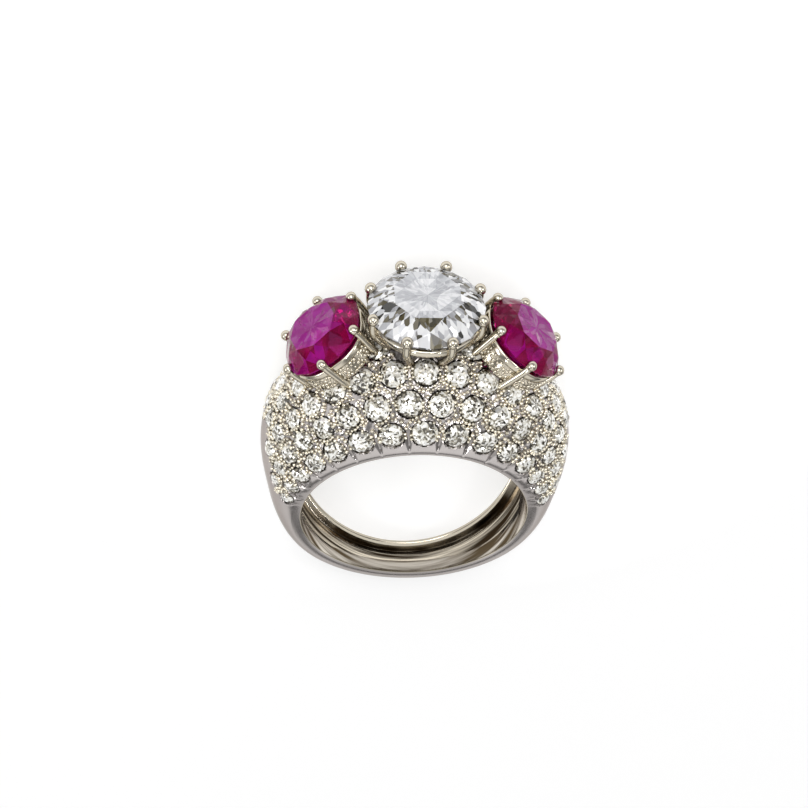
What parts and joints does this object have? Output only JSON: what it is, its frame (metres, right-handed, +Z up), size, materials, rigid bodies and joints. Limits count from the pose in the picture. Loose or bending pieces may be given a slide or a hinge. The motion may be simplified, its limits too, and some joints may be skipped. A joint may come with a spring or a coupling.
{
  "type": "gemstone ring",
  "caption": "Domed finger ring in polished white gold, its wide head paved with small diamonds and topped by a round diamond between cushion-cut rubies in claw settings.",
  "frame": {"origin": "on the surface that the ring lies on, under the middle of its box", "axes": "+Y from the shank to the head with its three main stones, +X from the left ruby to the right one as seen from the front, +Z up, with the front face of the ring on top; the ring lies on its back rim, so the finger's axis leans 14.36 degrees from +Z towards -Y"},
  "size_m": [0.0226, 0.0282, 0.0124],
  "materials": {
    "white_gold": "polished, slightly warm white gold",
    "diamond": "clear cut stone, polished",
    "ruby": "deep wine-red cut stone, polished",
    "small_diamond": "clear cut stones, polished"
  },
  "bodies": {
    "root": {"ring_mount": "white_gold", "centre_diamond": "diamond", "left_ruby": "ruby", "right_ruby": "ruby", "pave_front": "small_diamond", "pave_back": "small_diamond"}
  },
  "joints": []
}
